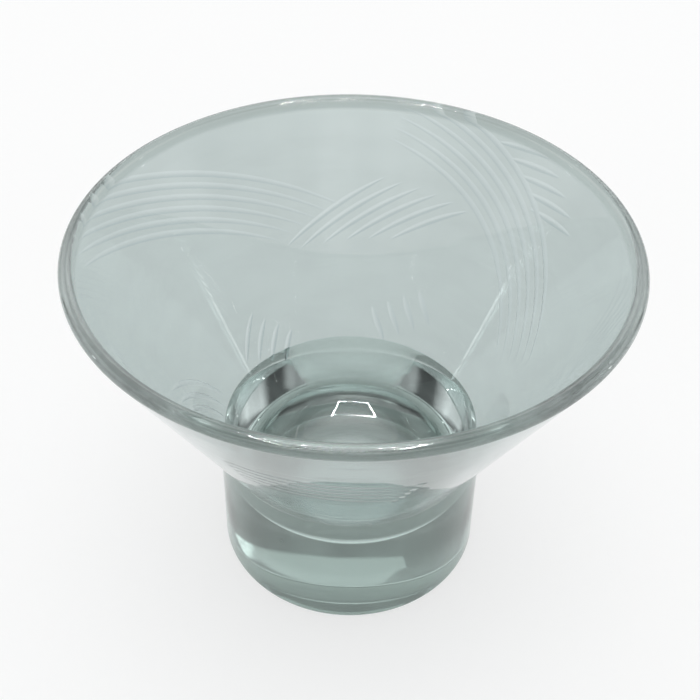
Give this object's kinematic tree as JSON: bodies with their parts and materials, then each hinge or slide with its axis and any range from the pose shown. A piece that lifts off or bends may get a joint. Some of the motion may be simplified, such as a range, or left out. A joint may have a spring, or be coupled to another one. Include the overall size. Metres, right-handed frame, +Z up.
{
  "type": "footed glass bowl",
  "caption": "Clear glass serving bowl: a straight-walled flared cup with a beaded lip and a dished floor, seated in a heavy solid cylindrical foot that stands flat on a table.",
  "frame": {"origin": "centre of the foot's contact plane, where the bowl's axis meets the table", "axes": "+Z up along the bowl's axis of revolution, towards the open rim"},
  "size_m": [0.14, 0.14, 0.1039],
  "materials": {
    "cup_glass": "fire-polished, with bundles of matte wheel-cut arcs on the outside",
    "foot_glass": "polished heavy block"
  },
  "bodies": {
    "root": {"flared_cup": "cup_glass", "solid_foot": "foot_glass"}
  },
  "joints": []
}
